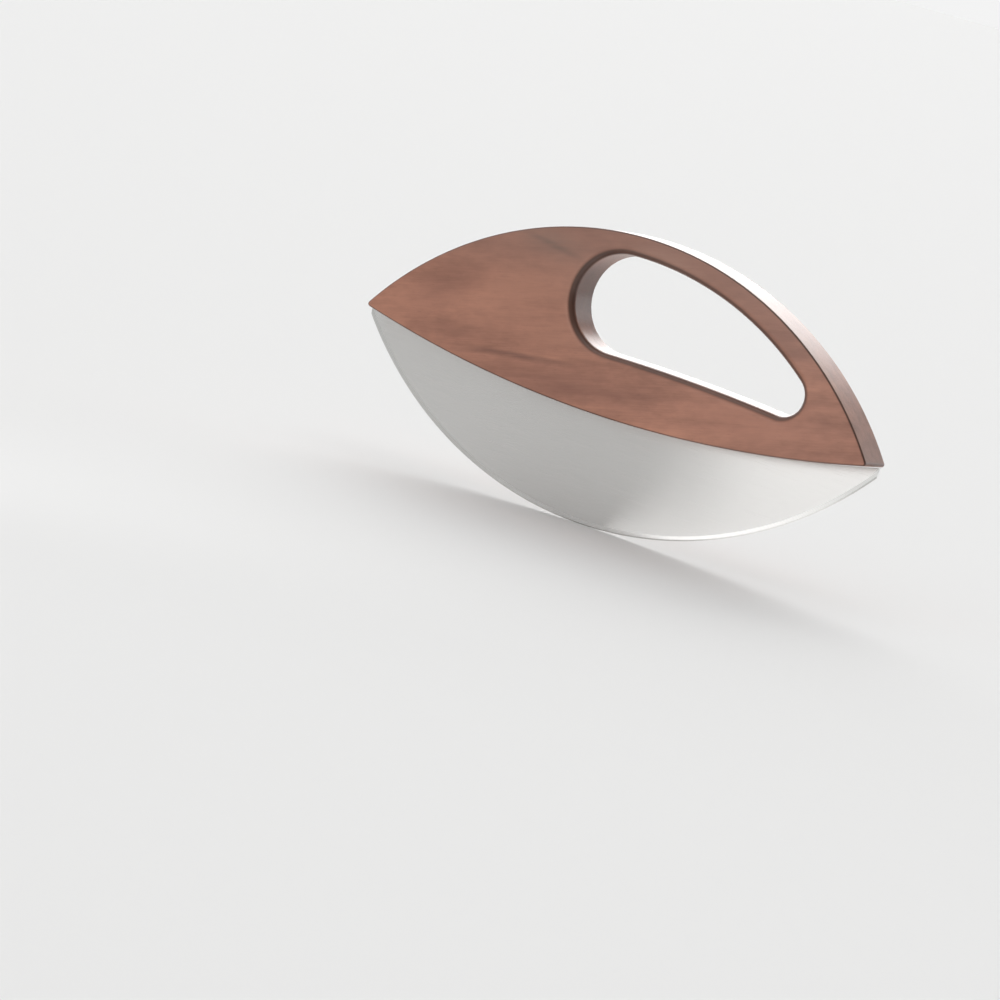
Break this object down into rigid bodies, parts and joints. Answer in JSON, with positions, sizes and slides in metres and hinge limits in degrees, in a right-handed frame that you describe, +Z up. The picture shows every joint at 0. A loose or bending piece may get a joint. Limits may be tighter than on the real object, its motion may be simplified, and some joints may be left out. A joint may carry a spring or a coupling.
{
  "type": "mezzaluna",
  "caption": "Crescent rocking knife with a brushed steel blade under a bow-shaped wooden handle; a long teardrop opening takes the hand that rocks it over herbs or pizza.",
  "frame": {"origin": "under the middle of the cutting edge, at its lowest point, midway through the thickness", "axes": "+X along the knife towards the narrow end of the grip, +Y through the handle towards its rear face, +Z up from the cutting edge to the bow"},
  "size_m": [0.3036, 0.028, 0.1555],
  "materials": {
    "steel": "fine brushed, polished bevel",
    "wood": "oiled reddish brown hardwood, satin",
    "pin_steel": "turned",
    "dowel_wood": "raw beech"
  },
  "bodies": {
    "root": {"blade": "steel", "handle_front": "wood", "handle_rear": "wood", "tang_pin_1": "pin_steel", "tang_pin_2": "pin_steel", "tang_pin_3": "pin_steel", "tang_pin_4": "pin_steel", "tang_pin_5": "pin_steel", "handle_dowel_1": "dowel_wood", "handle_dowel_2": "dowel_wood", "handle_dowel_3": "dowel_wood", "handle_dowel_4": "dowel_wood"}
  },
  "joints": []
}
